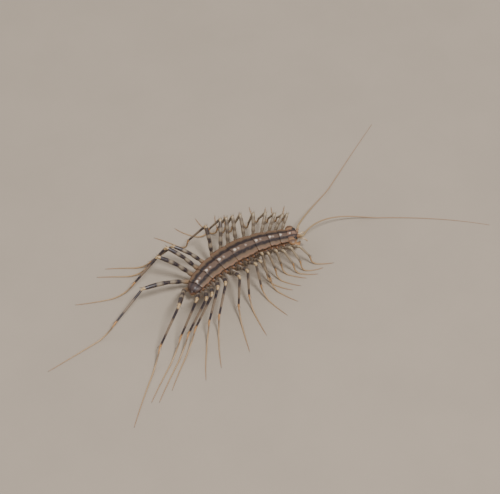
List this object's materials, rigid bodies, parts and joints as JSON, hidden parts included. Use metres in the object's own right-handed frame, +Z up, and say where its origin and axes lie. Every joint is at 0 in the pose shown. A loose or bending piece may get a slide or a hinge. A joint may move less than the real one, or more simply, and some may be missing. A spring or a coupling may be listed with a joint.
{
  "type": "house centipede",
  "caption": "Life-size still model of a house centipede with a curved plated body, long thin antennae and many long jointed legs spread over the floor.",
  "frame": {"origin": "centre of the footprint of legs and antennae, on the floor", "axes": "+X is the mean heading of the animal, +Y its left side, +Z up"},
  "size_m": [0.0939, 0.0403, 0.0121],
  "materials": {
    "head": "satin cuticle",
    "eye": "glossy",
    "antenna": "satin",
    "forcipule": "satin cuticle",
    "palp": "satin",
    "trunk": "satin cuticle",
    "leg": "satin"
  },
  "bodies": {
    "root": {"head": "head", "eye_left": "eye", "antenna_left": "antenna", "forcipule_left": "forcipule", "palp_left": "palp", "eye_right": "eye", "antenna_right": "antenna", "forcipule_right": "forcipule", "palp_right": "palp", "trunk_1": "trunk", "trunk_2": "trunk", "trunk_3": "trunk", "trunk_4": "trunk", "trunk_5": "trunk", "trunk_6": "trunk", "trunk_7": "trunk", "trunk_8": "trunk", "leg_left_01": "leg", "leg_left_02": "leg", "leg_left_03": "leg", "leg_left_04": "leg", "leg_left_05": "leg", "leg_left_06": "leg", "leg_left_07": "leg", "leg_left_08": "leg", "leg_left_09": "leg", "leg_left_10": "leg", "leg_left_11": "leg", "leg_left_12": "leg", "leg_left_13": "leg", "leg_left_14": "leg", "leg_left_15": "leg", "leg_right_01": "leg", "leg_right_02": "leg", "leg_right_03": "leg", "leg_right_04": "leg", "leg_right_05": "leg", "leg_right_06": "leg", "leg_right_07": "leg", "leg_right_08": "leg", "leg_right_09": "leg", "leg_right_10": "leg", "leg_right_11": "leg", "leg_right_12": "leg", "leg_right_13": "leg", "leg_right_14": "leg", "leg_right_15": "leg"}
  },
  "joints": []
}
